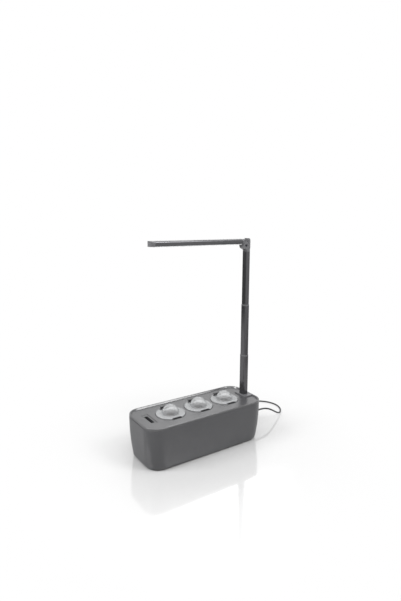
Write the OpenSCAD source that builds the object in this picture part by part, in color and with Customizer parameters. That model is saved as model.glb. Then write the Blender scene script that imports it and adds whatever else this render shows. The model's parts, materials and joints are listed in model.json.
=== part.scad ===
// Countertop hydroponic garden: a water tank with three plant cups, a float
// gauge and a telescopic grow lamp that plugs into the end of the tank.
// Millimetres, +Z up, +X towards the lamp, origin on the table under the
// middle of the tank.

/* [Tank] */
// Length of the tank at its rim
tank_l = 300; // [280:5:340]
// Width of the tank at its rim
tank_w = 122; // [112:2:140]
// Height of the rim above the table
tank_h = 91; // [86:1:110]
// Radius of the tank's corners in plan
tank_corner_r = 33; // [26:1:38]
// Thickness of the tank's walls and floor
tank_wall = 2.5; // [2:0.1:3.2]
// How much each end leans in towards the bottom
end_taper = 6; // [3:0.5:8]
// How much each long side leans in towards the bottom
side_taper = 5; // [3:0.5:7]
// Radius of the rounded edge round the tank's bottom
tank_edge_r = 3.5; // [3:0.5:8]
// Height of the recessed plinth under the tank
plinth_h = 3; // [2:0.5:5]

/* [Lid] */
// Height of the lid's rim above the tank's rim
lid_rim_h = 5; // [4:0.5:7]
// Depth of the tray floor below the lid's rim
tray_depth = 3; // [2:0.5:3.5]
// Distance from the edge of the lid in from the tank's rim
lid_inset = 1.2; // [0.8:0.1:2]
// Thickness of the lid's plates
lid_wall = 2; // [1.6:0.1:2.4]
// Depth of the skirt that locates the lid in the tank
skirt_h = 3.6; // [2.5:0.1:3.8]

/* [Plant cups] */
// Distance between the plant cups, as a share of the tank's length
pitch_share = 0.24167; // [0.238:0.0005:0.245]
// Place of the middle cup, as a share of the tank's length
row_share = 0.014; // [0:0.001:0.016]
// Width of the flat rim round a cup
cup_rim_w = 4.2; // [3.5:0.1:5]
// How much a cup's body narrows from its rim to its bottom
cup_narrowing = 2.9; // [1.5:0.1:4]
// Depth of a cup from the rim to the underside of its floor
cup_depth = 56.8; // [50:0.1:60]
// Thickness of a cup's wall
cup_wall = 1; // [0.8:0.05:1.2]
// Height of the medium in a cup
medium_h = 48.5; // [40:0.5:49]
// Diameter of the wick
wick_d = 4.5; // [4:0.1:5.5]

/* [Covers] */
// Radius of the cover disc over a cup, as a share of the distance between cups
cover_share = 0.45; // [0.43:0.005:0.455]
// Thickness of the cover disc
cover_t = 2; // [1.6:0.1:2.4]
// Diameter of the plant hole in the cover disc
plant_hole_d = 17; // [12:0.5:24]
// Radius of the clear dome, as a share of the cover disc's radius
dome_share = 0.573; // [0.5:0.001:0.65]
// Thickness of the clear dome
dome_wall = 1; // [0.8:0.1:1.4]

/* [Float gauge] */
// Height of the float
float_h = 64; // [56:1:72]
// Width of the float
float_w = 34.5; // [30:0.5:38]
// Thickness of the float
float_t = 7; // [5:0.1:8]
// Height of the red sleeve round the float
sleeve_h = 27.7; // [22:0.1:32]

/* [Lamp foot] */
// Width of the lamp's foot
foot_w = 40.8; // [38:0.1:44]
// Length of the lamp's foot along the tank
foot_l = 26.5; // [25:0.1:28]
// Height of the lamp's foot
foot_h = 64.2; // [60:0.2:70]
// Radius of the round lower corners of the foot
foot_corner_r = 13; // [10:0.5:16]
// Thickness of the foot's shell
foot_wall = 2.2; // [1.8:0.1:2.6]

/* [Mast] */
// Size of the lowest tube along the tank
mast_l = 13.4; // [12.8:0.1:14]
// Size of the lowest tube across the tank
mast_w = 18; // [17:0.1:20]
// Thickness of the tubes
mast_wall = 0.55; // [0.45:0.05:0.6]
// Height of the lowest tube above the foot
lower_h = 97; // [90:1:110]
// Height of the middle tube that shows when it is out
middle_h = 121.3; // [112:0.1:125]
// Height of the upper tube that shows when it is out
upper_h = 123; // [114:0.5:126]

/* [Lamp] */
// Length of the lamp's arm
lamp_l = 233; // [200:1:250]
// Width of the lamp's arm
lamp_w = 20; // [18:0.5:24]
// Height of the lamp's arm
lamp_h = 11.5; // [10.5:0.5:13]
// Radius of the hinge knuckle
hinge_r = 8.5; // [7.5:0.1:9]
// Number of light sources in each of the two rows
led_count = 14; // [6:1:20]

/* [Power lead] */
// Diameter of the lead
cord_d = 4; // [4:0.1:4.2]
// Number of loops in the coil, in two layers
coil_loops = 5; // [3:1:7]
// Radius of the coil's outermost loop
coil_r = 34; // [32:1:40]
// Length of the power adapter
adapter_l = 62; // [50:1:80]

/* [Hidden] */
$fn = 64;
cut = 1;

tank_grey = [0.30, 0.31, 0.32];
lid_grey = [0.42, 0.43, 0.44];
cup_grey = [0.20, 0.205, 0.21];
mast_grey = [0.32, 0.325, 0.33];
black = [0.08, 0.08, 0.085];
red = [0.88, 0.15, 0.17];
soil = [0.33, 0.26, 0.20];
white = [0.95, 0.95, 0.94];
clear = [0.92, 0.95, 0.96, 0.35];
metal = [0.75, 0.75, 0.76];
board_green = [0.10, 0.35, 0.20];

// Clearances
seat = 0.2;
side_gap = 0.4;
slide_gap = 0.2;
pin_gap = 0.06;

// Tank: shares of the height where the wall has a ring of points, and how
// fast the wall leans in towards the bottom
wall_shares = [0.2, 0.38, 0.6, 0.8, 1];
lean_power = 2.2;
edge_steps = 4;
corner_steps = 8;
plinth_inset = 4;
plinth_wall = 3;
pad_drop = 0.8;
pad_r = 8;
pad_inset = tank_corner_r - plinth_inset;
rim_z = tank_h;
floor_z = plinth_h + tank_wall;

// Pocket for the lamp's foot
pocket_wall = 2.4;
pocket_drop = 4;
foot_edge_r = 5;
foot_set_in = 1;
foot_x1 = tank_l / 2 - foot_set_in;
foot_x0 = foot_x1 - foot_l;
foot_lean = 2.4;
top_gap = 0.3;
foot_top_z = rim_z + lid_rim_h - top_gap;
foot_z = foot_top_z - foot_h;

// Lid
lid_corner_cut = 4;
lid_corner_r = tank_corner_r - lid_corner_cut;
lid_top_z = rim_z + lid_rim_h;
lid_floor_z = lid_top_z - tray_depth;
lid_edge_r = 1.5;
tray_rim_w = 2.6;
tray_slope_w = 3;
skirt_wall = 1.8;

// Cups: they grow with the tank, so that three always fit between the float
// gauge and the lamp's pocket
cup_pitch = pitch_share * tank_l;
cups_x = [for (i = [-1:1]) row_share * tank_l + i * cup_pitch];
cover_r = cover_share * cup_pitch;
cover_step = 1.8;
cup_rim_r = cover_r - cover_step;
cup_top_r = cup_rim_r - cup_rim_w;
cup_bottom_r = cup_top_r - cup_narrowing;
cover_z = lid_floor_z - cover_t;
cup_rim_t = 2.6;
cup_rim_drop = 0.9;
cup_rim_z = cover_z - seat;
cup_ledge_z = cup_rim_z - cup_rim_t;
cup_floor_t = 2.2;
cup_edge = 1.6;
cup_z = cup_rim_z - cup_depth;
nozzle_r = 5;
nozzle_h = 7.2;
slit_w = 1.4;
slit_h = 17;
slit_rise = 4;
slit_angle = 48;
tab_w = 16.5;
tab_h = 8.6;
tab_t = 2;
tab_lean = 4;
tab_lip = 3.2;
medium_z = cup_z + cup_floor_t + seat;
medium_gap = 0.3;
wick_rise = 0.8;
wick_gap = 0.15;

// Cover disc and dome
notch_w = 20;
notch_depth = 7.5;
cover_gap = 0.4;
cup_hole_r = cup_top_r + cover_gap + seat;
cup_sleeve_h = 10;
dome_z = lid_floor_z + seat;
dome_flange_t = 1.1;
dome_inset = 0.6;
dome_flange_r = cover_r - dome_inset;
dome_neck = 1.9;
dome_r = dome_share * cover_r;
dome_lip = 0.9;

// Float gauge
float_inset = 29.7;
float_x = float_inset - tank_l / 2;
float_gap = 0.4;
float_edge = 1.5;
float_z = floor_z + float_gap;
sleeve_wall = 3;
sleeve_side = 1.55;
collar_rim = 0.4;
collar_h = 20.3;
collar_z = rim_z - collar_h;
recess_l = 16;
recess_w = 50;
recess_depth = 1.2;

// Mast: each tube slides in the one below it
tube_step = 2 * (mast_wall + slide_gap);
mast_r = 3;
mast_set_in = 14;
mast_x = foot_x1 - mast_set_in;
mast_foot_depth = 37;
tube_overlap = 24;
bush_h = 3;
lower_top_z = foot_top_z + lower_h;
middle_top_z = lower_top_z + middle_h;
upper_top_z = middle_top_z + upper_h;
socket_wall = 2;
lower_z = foot_top_z - mast_foot_depth;

// Electrics in the foot
jack_rise = 8.5;
jack_z = foot_z + jack_rise;
jack_w = 9;
jack_h = 12;
jack_l = 13.4;
plug_r = 2.75;
plug_core_r = 1;
board_t = 1.6;
board_l = 19;
board_w = 30;
board_z = jack_z + jack_h / 2;
ledge_lap = 0.8;
coil_can_r = 3;
coil_can_h = 5;
screw_y = 14.5;
screw_drop = 15;
screw_z = foot_top_z - screw_drop;
screw_head_r = 2.5;
screw_head_h = 1.2;
screw_r = 1.3;
boss_r = 3;
boss_l = 8;

// Hinge: the knuckle stands in front of the mast and the ear behind it
hinge_offset = 6.5;
hinge_x = mast_x - hinge_offset;
hinge_rise = 14;
hinge_z = upper_top_z + hinge_rise;
knuckle_w = 8.2;
washer_t = 0.4;
washer_r = 6;
washer_gap = 0.1;
pin_r = 1.6;
pin_head_r = 3;
pin_head_h = 0.9;
ear_h = 16;
ear_t = 4.9;
ear_r = 5;
yoke_plug_h = 12;
yoke_w = mast_w - 2 * tube_step;
yoke_l = mast_l - 2 * tube_step;

// Lamp
lamp_gap = 1.3;
lamp_rise = 3;
lamp_z = hinge_z + lamp_rise;
lamp_x1 = hinge_x - hinge_r - lamp_gap;
lamp_x0 = lamp_x1 - lamp_l;
lamp_r = 4;
lamp_wall = 1.6;
cap_l = 10;
neck_l = 6;
knuckle_plate = 2;
plug_in = 6;
diffuser_t = 1.4;
diffuser_w = 16;
diffuser_r = 3;
diffuser_drop = 1.2;
led_board_t = 1.2;
led_board_w = lamp_w - 2 * (lamp_wall + seat);
led_size = 3;
led_h = 0.9;
led_row_y = 3.4;

// Lead: points chosen by hand, from the plug down to the table and round
// behind the tank to the coil
plug_l = 25;
plug_body_r = 4.8;
plug_collar_r = 3.6;
plug_collar_l = 3;
barrel_l = 9.5;
relief_l = 10.5;
relief_r = 3;
plug_set_in = 1.5;
plug_x = foot_x1 - plug_set_in;
lay_gap = 0.1;
table_z = cord_d / 2 + lay_gap;
cord_sides = 8;
coil_sides = 6;
coil_gap = 0.8;
coil_x = 60;
coil_y = 98;
coil_ring_steps = 24;
cord_start_x = plug_x + plug_l + relief_l;
cord_route = [[183, 0, 40], [191, 0, 40], [206, 0, 38.5], [222, 1, 33],
    [238, 3, 24], [254, 7, 14], [270, 14, 6.5], [284, 24, 2.8],
    [296, 37, 2.1], [304, 53, 2.1], [306, 71, 2.1], [301, 89, 2.1],
    [290, 104, 2.1], [274, 116, 2.1], [255, 124, 2.1], [234, 129, 2.1],
    [212, 131.5, 2.1], [190, 132, 2.1], [168, 132, 2.1], [146, 132, 2.1],
    [124, 132, 2.1], [102, 132, 2.1], [80, 132, 2.1], [68, 132, 2.1],
    [64, 132, 2.1]];
adapter_w = 40;
adapter_h = 28;
adapter_r = 5;
adapter_x1 = -32;
adapter_y = 96;
tail_route = [[56, 132, 6.9], [52, 132, 6.9], [42, 131.5, 7.6], [30, 128, 9.4],
    [18, 121, 11.6], [8, 112, 13.3], [0, 104, 14], [-10, 98, 14],
    [-18, 96, 14], [adapter_x1 + relief_l, adapter_y, adapter_h / 2]];
pins_pitch = 19;
pins_r = 2;
pins_l = 19;

// Points of a rounded rectangle of half sizes a and b, at height z
function ring(a, b, r, z) = [for (q = [0:3], k = [0:corner_steps])
    let (sx = q == 0 || q == 3 ? 1 : -1, sy = q < 2 ? 1 : -1,
        t = 90 * (q + k / corner_steps))
    [sx * (a - r) + r * cos(t), sy * (b - r) + r * sin(t), z]];

// Solid between rings of equal point counts
module loft(rings) {
    n = len(rings[0]);
    m = len(rings);
    sides = [for (j = [0:m - 2], i = [0:n - 1], h = [0:1])
        let (a = j * n + i, b = j * n + (i + 1) % n)
        h == 0 ? [a, a + n, b] : [b, a + n, b + n]];
    caps = [[for (i = [0:n - 1]) i], [for (i = [n - 1:-1:0]) (m - 1) * n + i]];
    polyhedron([for (row = rings, p = row) p], concat(sides, caps));
}

module rounded(l, w, r) {
    square([l - 2 * r, w], center = true);
    square([l, w - 2 * r], center = true);
    for (sx = [-1, 1], sy = [-1, 1])
        translate([sx * (l / 2 - r), sy * (w / 2 - r)]) circle(r);
}

module rounded_bar(l, w, r, z0, z1) {
    translate([0, 0, z0]) linear_extrude(z1 - z0) rounded(l, w, r);
}

// How far the tank's wall has leaned in at height z, as a share
function lean_share(z) = pow(max(0, 1 - (z - plinth_h) / (rim_z - plinth_h)), lean_power);

// How far a round edge of radius r that starts at z0 is in at height z
function edge_in(z, z0, r) = z - z0 >= r ? 0 : r - sqrt(max(0, r * r - pow(r - z + z0, 2)));

// Rings of the tank's surface, inset by t all round
function tank_rings(t, top) = let (z0 = plinth_h + t, r = tank_edge_r - t)
    [for (z = concat([for (k = [0:edge_steps]) z0 + r * (1 - cos(90 * k / edge_steps))],
            [for (s = wall_shares) z0 + r + s * (top - z0 - r)]))
        let (e = edge_in(z, z0, r), s = lean_share(z))
        ring(tank_l / 2 - t - end_taper * s - e, tank_w / 2 - t - side_taper * s - e,
            tank_corner_r - t - e, z)];

// Plan of the foot, grown by g, with its outer end at x1
module foot_plan(g, x1) {
    x0 = foot_x0 - g;
    r = foot_edge_r + g;
    w = foot_w + 2 * g;
    translate([x0 + r, -w / 2]) square([x1 - x0 - r, w]);
    translate([x0, r - w / 2]) square([r, w - 2 * r]);
    for (s = [-1, 1]) translate([x0 + r, s * (w / 2 - r)]) circle(r);
}

// The foot's form, grown by g, from its round bottom up to z1
module foot_form(g, x1, z1) {
    r = foot_corner_r + g;
    w = foot_w + 2 * g;
    intersection() {
        translate([0, 0, foot_z - g]) linear_extrude(z1 - foot_z + g) foot_plan(g, x1);
        translate([0, 0, foot_z - g]) rotate([90, 0, 90]) linear_extrude(x1 + cut)
            union() {
                translate([-w / 2, r]) square([w, z1 - foot_z + g]);
                translate([r - w / 2, 0]) square([w - 2 * r, r + cut]);
                for (s = [-1, 1]) translate([s * (w / 2 - r), r]) circle(r);
            }
    }
}

module tub() color(tank_grey) {
    difference() {
        union() {
            difference() {
                loft(tank_rings(0, rim_z));
                loft(tank_rings(tank_wall, rim_z + cut));
            }
            intersection() {
                loft(tank_rings(0, rim_z));
                foot_form(side_gap + pocket_wall, tank_l / 2 + cut, rim_z - pocket_drop);
            }
        }
        foot_form(side_gap, tank_l / 2 + cut, rim_z + cut);
    }
    difference() {
        plinth(plinth_inset, pad_drop, plinth_h + tank_wall / 2);
        plinth(plinth_inset + plinth_wall, pad_drop - cut, plinth_h);
    }
}

module plinth(inset, z0, z1) {
    l = tank_l - 2 * (end_taper + inset);
    w = tank_w - 2 * (side_taper + inset);
    rounded_bar(l, w, tank_corner_r - inset, z0, z1);
}

module foot_pads() color(black) {
    for (sx = [-1, 1], sy = [-1, 1])
        translate([sx * (tank_l / 2 - end_taper - plinth_inset - pad_inset),
            sy * (tank_w / 2 - side_taper - plinth_inset - plinth_wall - pad_r - seat), 0])
            cylinder(h = plinth_h, r = pad_r);
}

// Rings of the lid's outer edge and of its tray
lid_a = tank_l / 2 - lid_inset;
lid_b = tank_w / 2 - lid_inset;
lid_rings = concat([ring(lid_a, lid_b, lid_corner_r, rim_z)],
    [for (k = [0:3]) let (e = lid_edge_r * (1 - cos(30 * k)))
        ring(lid_a - e, lid_b - e, lid_corner_r - e, lid_top_z - lid_edge_r * (1 - sin(30 * k)))]);
tray_rings = [for (s = [0, 1]) let (e = tray_rim_w + tray_slope_w * (1 - s))
    ring(lid_a - e, lid_b - e, lid_corner_r - e, lid_floor_z + s * (tray_depth + lid_edge_r))];

module lid() color(lid_grey) {
    well_r = cover_r + cover_gap;
    difference() {
        union() {
            difference() {
                loft(lid_rings);
                loft(tray_rings);
            }
            difference() {
                lid_skirt(tank_wall + side_gap, rim_z - skirt_h, rim_z + lid_wall / 2);
                lid_skirt(tank_wall + side_gap + skirt_wall, rim_z - skirt_h - cut, rim_z);
            }
            for (x = cups_x) translate([x, 0, cup_ledge_z - seat - lid_wall]) {
                cylinder(h = rim_z + seat - cup_ledge_z + lid_wall + cut, r = well_r + lid_wall);
                translate([0, 0, -cup_sleeve_h])
                    cylinder(h = cup_sleeve_h + cut, r = cup_hole_r + skirt_wall);
            }
            translate([float_x, 0, 0])
                rounded_bar(float_t + 2 * (float_gap + sleeve_wall + collar_rim),
                    float_w + 2 * (float_gap + sleeve_side + collar_rim),
                    float_edge + collar_rim, collar_z, rim_z + cut);
        }
        for (x = cups_x) translate([x, 0, 0]) {
            translate([0, 0, cover_z - seat / 2]) cylinder(h = lid_top_z, r = well_r);
            translate([0, 0, cup_ledge_z - seat]) cylinder(h = lid_top_z, r = cup_rim_r + cover_gap);
            translate([0, 0, rim_z - lid_top_z]) cylinder(h = 2 * lid_top_z, r = cup_hole_r);
        }
        translate([float_x, 0, 0]) {
            rounded_bar(float_t + 2 * float_gap, float_w + 2 * float_gap, float_edge,
                collar_z - cut, lid_top_z);
            rounded_bar(recess_l, recess_w, float_edge, lid_floor_z - recess_depth, lid_top_z);
        }
        translate([0, 0, rim_z - pocket_drop - cut]) linear_extrude(lid_top_z)
            foot_plan(side_gap, tank_l / 2 + cut);
    }
}

module lid_skirt(inset, z0, z1) {
    rounded_bar(tank_l - 2 * inset, tank_w - 2 * inset, tank_corner_r - inset, z0, z1);
}

module indicator_sleeve() color(red) {
    translate([float_x, 0, 0]) difference() {
        rounded_bar(float_t + 2 * (float_gap + sleeve_wall), float_w + 2 * (float_gap + sleeve_side),
            float_edge, collar_z - sleeve_h, collar_z);
        rounded_bar(float_t + 2 * float_gap, float_w + 2 * float_gap, float_edge,
            collar_z - sleeve_h - cut, collar_z + cut);
    }
}

module float_plate() color(tank_grey) {
    translate([float_x, 0, 0]) rounded_bar(float_t, float_w, float_edge, float_z, float_z + float_h);
}

// Inner radius of a cup at height z above its floor's underside
function cup_in(z) = cup_bottom_r - cup_wall + (cup_top_r - cup_bottom_r) * z / cup_depth;

module cup(x) color(cup_grey) {
    rim_z0 = cup_depth - cup_rim_t;
    bore_r = wick_d / 2 + wick_gap;
    translate([x, 0, cup_z]) {
        difference() {
            rotate_extrude() polygon([[bore_r, -nozzle_h], [nozzle_r - cup_wall, -nozzle_h],
                [nozzle_r, cup_wall - nozzle_h], [nozzle_r, 0], [cup_bottom_r - cup_edge, 0],
                [cup_bottom_r, cup_edge], [cup_top_r, rim_z0], [cup_rim_r, rim_z0],
                [cup_rim_r, cup_depth - cup_rim_drop], [cup_top_r, cup_depth],
                [cup_in(cup_depth), cup_depth], [cup_in(cup_floor_t), cup_floor_t],
                [bore_r, cup_floor_t]]);
            for (k = [0:3]) rotate([0, 0, slit_angle + 90 * k])
                translate([cup_bottom_r - 2 * cup_edge, -slit_w / 2, slit_rise])
                    cube([cup_rim_r - cup_bottom_r, slit_w, slit_h]);
        }
        translate([-tab_w / 2, 0, cup_depth]) rotate([90, 0, 90]) linear_extrude(tab_w)
            polygon([[cup_top_r, -cup_rim_drop], [cup_top_r + tab_t, -cup_rim_drop],
                [cup_top_r + tab_t + tab_lean, tab_h], [cup_top_r + tab_lean - tab_lip, tab_h],
                [cup_top_r + tab_lean - tab_lip, tab_h - tab_t],
                [cup_top_r + tab_lean - tab_t / 2, tab_h - tab_t]]);
    }
}

module wick(x) color(white) {
    translate([x, 0, floor_z + wick_rise])
        cylinder(h = cup_z + cup_floor_t - floor_z - wick_rise, d = wick_d);
}

module medium(x) color(soil) {
    translate([x, 0, medium_z]) cylinder(h = medium_h, r1 = cup_in(cup_floor_t) - medium_gap,
        r2 = cup_in(cup_floor_t + medium_h) - medium_gap);
}

// Two cut-outs in the edge of a disc of radius r, for the cup's tab
module edge_notches(r, g) {
    for (s = [-1, 1]) translate([0, s * (r - notch_depth - g + r / 2), 0])
        cube([notch_w + 2 * g, r, 3 * r], center = true);
}

module cover(x) color(cup_grey) {
    translate([x, 0, cover_z]) difference() {
        cylinder(h = cover_t, r = cover_r);
        translate([0, 0, -cut]) cylinder(h = cover_t + 2 * cut, d = plant_hole_d);
        edge_notches(cover_r, 0);
    }
}

module dome(x) color(clear) {
    translate([x, 0, dome_z]) difference() {
        union() {
            cylinder(h = dome_flange_t, r = dome_flange_r);
            cylinder(h = dome_neck, r = dome_r);
            intersection() {
                translate([0, 0, dome_neck]) sphere(dome_r);
                translate([0, 0, dome_neck]) cylinder(h = dome_r + cut, r = dome_r + cut);
            }
            difference() {
                cylinder(h = dome_flange_t + dome_lip, r = dome_flange_r);
                translate([0, 0, -cut])
                    cylinder(h = dome_flange_t + dome_lip + 2 * cut, r = dome_flange_r - dome_lip);
            }
        }
        translate([0, 0, -cut]) cylinder(h = dome_neck + cut, r = dome_r - dome_wall);
        intersection() {
            translate([0, 0, dome_neck]) sphere(dome_r - dome_wall);
            translate([0, 0, dome_neck - seat]) cylinder(h = dome_r + cut, r = dome_r + cut);
        }
        edge_notches(cover_r, side_gap);
    }
}

// The foot with its outer face leaning in towards the bottom, shrunk by t
module foot_body(t) {
    intersection() {
        foot_form(-t, foot_x1 + cut, foot_top_z - t);
        foot_lean_slab(t, foot_l + 2 * cut);
        translate([foot_x1 - foot_edge_r, 0, 0])
            rounded_bar(2 * (foot_edge_r - t) + 2 * foot_l, foot_w - 2 * t, foot_edge_r - t,
                foot_z - cut, foot_top_z + cut);
    }
}

// A slab of thickness l whose outer face follows the lean of the foot
module foot_lean_slab(t, l) {
    translate([0, foot_w, 0]) rotate([90, 0, 0]) linear_extrude(2 * foot_w)
        polygon([[foot_x1 - foot_lean - t, foot_z - cut], [foot_x1 - t, foot_top_z + cut],
            [foot_x1 - t - l, foot_top_z + cut], [foot_x1 - foot_lean - t - l, foot_z - cut]]);
}

module mast_section(k, grow, z0, z1) {
    translate([mast_x, 0, 0]) rounded_bar(mast_l - k * tube_step + 2 * grow,
        mast_w - k * tube_step + 2 * grow, mast_r - k * tube_step / 2 + grow, z0, z1);
}

// Tube k of the mast, counted from the lowest
module mast_tube(k, z0, z1) {
    difference() {
        mast_section(k, 0, z0, z1);
        mast_section(k, -mast_wall, z0 - cut, z1 + cut);
    }
}

module foot_housing() color(mast_grey) {
    difference() {
        union() {
            difference() {
                foot_body(0);
                foot_body(foot_wall);
            }
            mast_section(0, socket_wall, lower_z - socket_wall, foot_top_z - foot_wall / 2);
            intersection() {
                foot_body(foot_wall / 2);
                for (m = [0, 1]) mirror([0, m, 0])
                    translate([foot_x0, board_w / 2 - ledge_lap, board_z - foot_wall])
                        cube([board_l, foot_w, foot_wall]);
            }
        }
        mast_section(0, 0, lower_z, foot_top_z + cut);
        foot_lean_slab(-cut, foot_wall + cut);
        for (s = [-1, 1]) translate([foot_x0 - cut, s * screw_y, screw_z]) rotate([0, 90, 0]) {
            cylinder(h = screw_head_h + cut, r = screw_head_r + slide_gap);
            cylinder(h = foot_l, r = screw_r + pin_gap);
        }
    }
}

module foot_cover() color(mast_grey) {
    difference() {
        union() {
            intersection() {
                foot_body(0);
                foot_lean_slab(0, foot_wall);
            }
            for (s = [-1, 1]) translate([foot_x1 - foot_wall - boss_l, s * screw_y, screw_z])
                rotate([0, 90, 0]) cylinder(h = boss_l + foot_wall / 2, r = boss_r);
        }
        translate([foot_x1 - foot_l / 2, 0, jack_z]) rotate([0, 90, 0])
            cylinder(h = foot_l, r = plug_collar_r + slide_gap);
        for (s = [-1, 1]) translate([foot_x1 - foot_wall - boss_l - cut, s * screw_y, screw_z])
            rotate([0, 90, 0]) cylinder(h = boss_l + cut, r = screw_r);
    }
}

module foot_screws() color(black) {
    for (s = [-1, 1]) translate([foot_x0, s * screw_y, screw_z]) rotate([0, 90, 0]) {
        cylinder(h = screw_head_h, r = screw_head_r);
        cylinder(h = foot_l - foot_wall - slide_gap, r = screw_r);
    }
}

board_x0 = foot_x0 + foot_wall + seat;
jack_x1 = foot_x1 - foot_lean - foot_wall - seat;

module driver_board() color(board_green) {
    translate([board_x0, -board_w / 2, board_z]) cube([board_l, board_w, board_t]);
    for (s = [-1, 1]) translate([board_x0 + board_l / 2, s * board_w / 4, board_z])
        cylinder(h = board_t + coil_can_h, r = coil_can_r);
}

module dc_jack() color(black) {
    translate([jack_x1 - jack_l, 0, 0]) {
        difference() {
            translate([0, -jack_w / 2, jack_z - jack_h / 2]) cube([jack_l, jack_w, jack_h]);
            translate([2 * foot_wall / 3, 0, jack_z]) rotate([0, 90, 0])
                cylinder(h = jack_l, r = plug_r + pin_gap);
        }
        translate([0, 0, jack_z]) rotate([0, 90, 0])
            cylinder(h = jack_l - 2 * foot_wall, r = plug_core_r);
    }
}

module mast_lower() color(mast_grey) {
    mast_tube(0, lower_z + seat, lower_top_z - bush_h);
}

// End ring on tube k, which guides the next tube
module end_bush(k, z) {
    difference() {
        mast_section(k, 0, z - bush_h, z);
        mast_section(k + 1, slide_gap / 2, z - bush_h - cut, z + cut);
    }
}

module lower_bush() color(black) end_bush(0, lower_top_z);

module mast_middle() color(mast_grey) {
    mast_tube(1, lower_top_z - tube_overlap, middle_top_z - bush_h);
}

module middle_bush() color(black) end_bush(1, middle_top_z);

module mast_upper() color(mast_grey) {
    mast_tube(2, middle_top_z - tube_overlap, upper_top_z);
}

module hinge_disc(r, y0, y1) {
    translate([hinge_x, y1, hinge_z]) rotate([90, 0, 0]) cylinder(h = y1 - y0, r = r);
}

module hinge_yoke() color(mast_grey) {
    slot_w = knuckle_w + 2 * (washer_t + washer_gap);
    back_x = mast_x + yoke_l / 2;
    ear_x0 = back_x - ear_t;
    difference() {
        union() {
            mast_section(2, -mast_wall - pin_gap / 2, upper_top_z - yoke_plug_h, upper_top_z + cut);
            mast_section(2, 0, upper_top_z, hinge_z);
            hinge_disc(hinge_r, -yoke_w / 2, yoke_w / 2);
            translate([hinge_x, -yoke_w / 2, upper_top_z + hinge_r / 2])
                cube([back_x - hinge_x - mast_r / 2, yoke_w, hinge_rise - hinge_r / 2]);
            translate([ear_x0, yoke_w / 2, 0]) rotate([90, 0, 0]) linear_extrude(yoke_w) {
                z0 = upper_top_z + hinge_rise / 2;
                z1 = hinge_z + ear_h;
                translate([0, z0]) square([ear_t, z1 - z0 - ear_r]);
                translate([0, z0]) square([ear_t - ear_r / 2, z1 - z0]);
                intersection() {
                    translate([ear_t - ear_r, z1 - ear_r]) circle(ear_r);
                    translate([0, z0]) square([ear_t, z1 - z0]);
                }
            }
        }
        translate([hinge_x - 2 * hinge_r, -slot_w / 2, hinge_z - hinge_r - lamp_gap])
            cube([2 * hinge_r, slot_w, 3 * hinge_r]);
        translate([hinge_x - hinge_r, -slot_w / 2, hinge_z])
            cube([ear_x0 - hinge_x + hinge_r, slot_w, 3 * hinge_r]);
        hinge_disc(hinge_r + side_gap, -slot_w / 2, slot_w / 2);
        hinge_disc(pin_r, -yoke_w, yoke_w);
    }
}

module hinge_pin() color(black) {
    hinge_disc(pin_r, -yoke_w / 2, yoke_w / 2);
    hinge_disc(pin_head_r, -yoke_w / 2 - pin_head_h, -yoke_w / 2);
    hinge_disc(pin_head_r, yoke_w / 2, yoke_w / 2 + pin_head_h);
}

module friction_washers() color(metal) {
    difference() {
        union() {
            for (s = [-1, 1]) {
                y = s * (knuckle_w / 2 + washer_gap + washer_t / 2);
                hinge_disc(washer_r, y - washer_t / 2, y + washer_t / 2);
            }
        }
        hinge_disc(pin_r, -yoke_w, yoke_w);
    }
}

module lamp_profile(t, x0, x1) {
    translate([x0, 0, lamp_z + lamp_h / 2]) rotate([90, 0, 90]) linear_extrude(x1 - x0)
        rounded(lamp_w - 2 * t, lamp_h - 2 * t, lamp_r - t);
}

module lamp_knuckle() color(mast_grey) {
    neck_x = lamp_x1 + neck_l;
    difference() {
        union() {
            lamp_profile(0, lamp_x1 - knuckle_plate, lamp_x1);
            lamp_profile(lamp_wall + seat, lamp_x1 - knuckle_plate - plug_in, lamp_x1);
            hinge_disc(hinge_r - seat, -knuckle_w / 2, knuckle_w / 2);
            translate([0, knuckle_w / 2, 0]) rotate([90, 0, 0]) linear_extrude(knuckle_w)
                polygon([[lamp_x1 - knuckle_plate, lamp_z], [hinge_x, hinge_z - hinge_r / 4],
                    [hinge_x + hinge_r / 2, hinge_z + 0.8 * hinge_r],
                    [neck_x, lamp_z + lamp_h - seat], [lamp_x1 - knuckle_plate, lamp_z + lamp_h - seat]]);
        }
        hinge_disc(pin_r + pin_gap, -knuckle_w, knuckle_w);
    }
}

module lamp_housing() color(mast_grey) {
    x0 = lamp_x0 + cap_l;
    x1 = lamp_x1 - knuckle_plate;
    difference() {
        lamp_profile(0, x0, x1);
        lamp_profile(lamp_wall, x0 - cut, x1 + cut);
        translate([x0 - cut, -diffuser_w / 2 - seat / 2, lamp_z - cut])
            cube([x1 - x0 + 2 * cut, diffuser_w + seat, cut + 2 * lamp_wall]);
    }
}

module lamp_end_cap() color(mast_grey) {
    intersection() {
        lamp_profile(0, lamp_x0, lamp_x0 + cap_l);
        translate([lamp_x0 + lamp_w, 0, 0])
            rounded_bar(2 * lamp_w, lamp_w, lamp_h / 2, lamp_z - cut, lamp_z + lamp_h + cut);
    }
    lamp_profile(lamp_wall + seat, lamp_x0 + cap_l - cut, lamp_x0 + cap_l + plug_in);
}

led_x0 = lamp_x0 + cap_l + plug_in + seat;
led_x1 = lamp_x1 - knuckle_plate - plug_in - seat;
led_board_z = lamp_z + 2 * lamp_wall + led_h;

module led_board() color(white) {
    translate([led_x0, -led_board_w / 2, led_board_z])
        cube([led_x1 - led_x0, led_board_w, led_board_t]);
}

module leds() color([0.98, 0.93, 0.72]) {
    pitch = (led_x1 - led_x0) / led_count;
    for (i = [0:led_count - 1], s = [-1, 1])
        translate([led_x0 + (i + 0.5) * pitch - led_size / 2, s * led_row_y - led_size / 2,
            led_board_z - led_h])
            cube([led_size, led_size, led_h]);
}

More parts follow.
